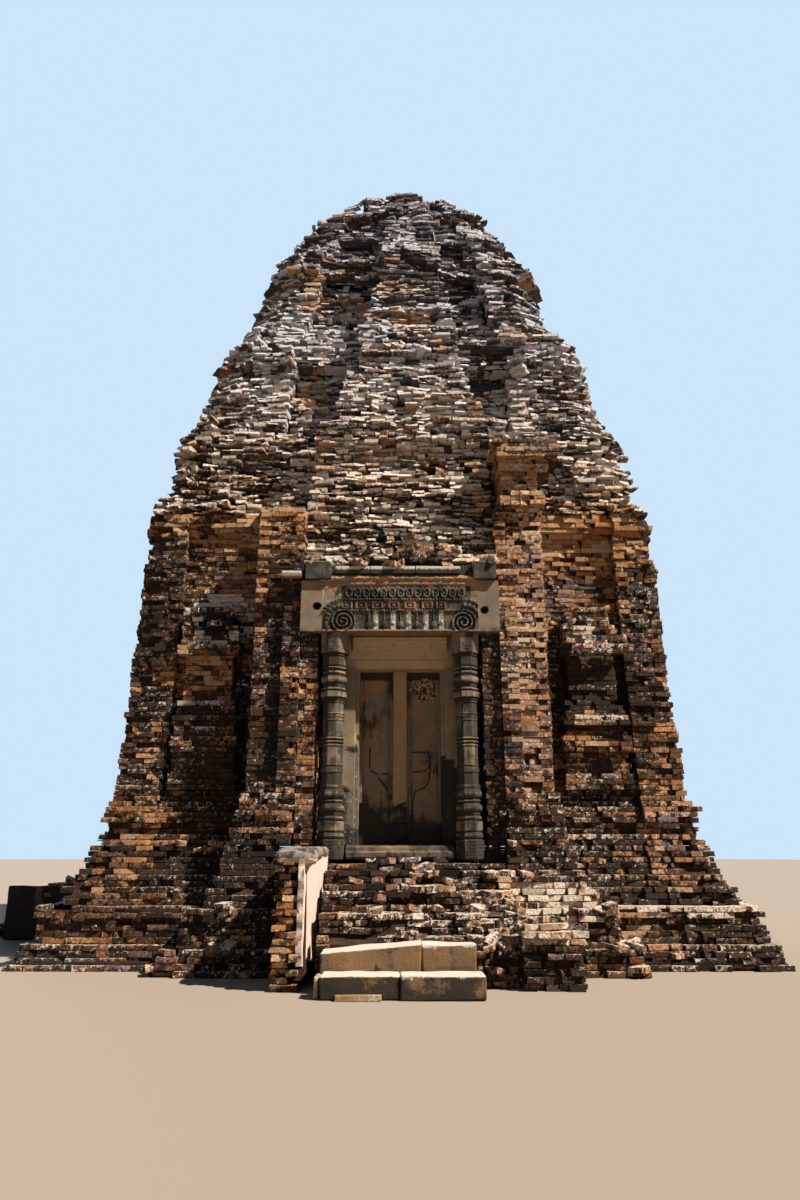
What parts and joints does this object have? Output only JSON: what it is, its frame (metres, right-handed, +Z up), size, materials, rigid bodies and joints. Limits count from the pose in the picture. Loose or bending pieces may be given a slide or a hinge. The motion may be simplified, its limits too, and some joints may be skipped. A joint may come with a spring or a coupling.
{
  "type": "ruined brick shrine tower with a blind door",
  "caption": "Square hollow brick shrine tower on a stepped plinth, with carved sandstone door sets on every side, stairs and a worn tiered superstructure.",
  "frame": {"origin": "on the ground at the centre of the tower", "axes": "+Z up, -Y out of the front blind door, +X to the right of someone facing that door; the open doorway is on +Y"},
  "size_m": [11.26, 11.92, 13.9],
  "materials": {
    "wall_brick": "weathered fired brick, matte",
    "worn_brick": "eroded fired brick with a dark patina, matte",
    "plinth_brick": "eroded fired brick, matte",
    "stair_brick": "broken fired brick, matte",
    "sandstone": "weathered carved sandstone, matte",
    "step_stone": "worn sandstone, matte"
  },
  "bodies": {
    "root": {"plinth_lower": "plinth_brick", "plinth_upper": "plinth_brick", "front_wall": "wall_brick", "left_wall": "wall_brick", "right_wall": "wall_brick", "back_wall_left": "wall_brick", "back_wall_right": "wall_brick", "back_wall_over_door": "wall_brick", "tier_1": "worn_brick", "tier_2": "worn_brick", "tier_3": "worn_brick", "crown": "worn_brick", "front_right_pier": "wall_brick", "front_left_pier": "wall_brick", "front_pediment": "worn_brick", "front_sill": "sandstone", "front_right_jamb": "sandstone", "front_left_jamb": "sandstone", "front_door_head": "sandstone", "front_blind_door": "sandstone", "front_door_band": "sandstone", "front_right_colonette": "sandstone", "front_left_colonette": "sandstone", "front_lintel": "sandstone", "front_lintel_cornice": "sandstone", "front_brick_steps": "stair_brick", "front_upper_tread": "step_stone", "front_lower_tread": "step_stone", "front_left_stair_wall": "stair_brick", "front_right_stair_wall": "stair_brick", "right_door_bay": "wall_brick", "right_door_frame": "sandstone", "right_right_colonette": "sandstone", "right_left_colonette": "sandstone", "right_lintel": "sandstone", "right_stair": "stair_brick", "back_door_bay": "wall_brick", "back_door_frame": "sandstone", "back_right_colonette": "sandstone", "back_left_colonette": "sandstone", "back_lintel": "sandstone", "back_stair": "stair_brick", "left_door_bay": "wall_brick", "left_door_frame": "sandstone", "left_right_colonette": "sandstone", "left_left_colonette": "sandstone", "left_lintel": "sandstone", "left_stair": "stair_brick"}
  },
  "joints": []
}
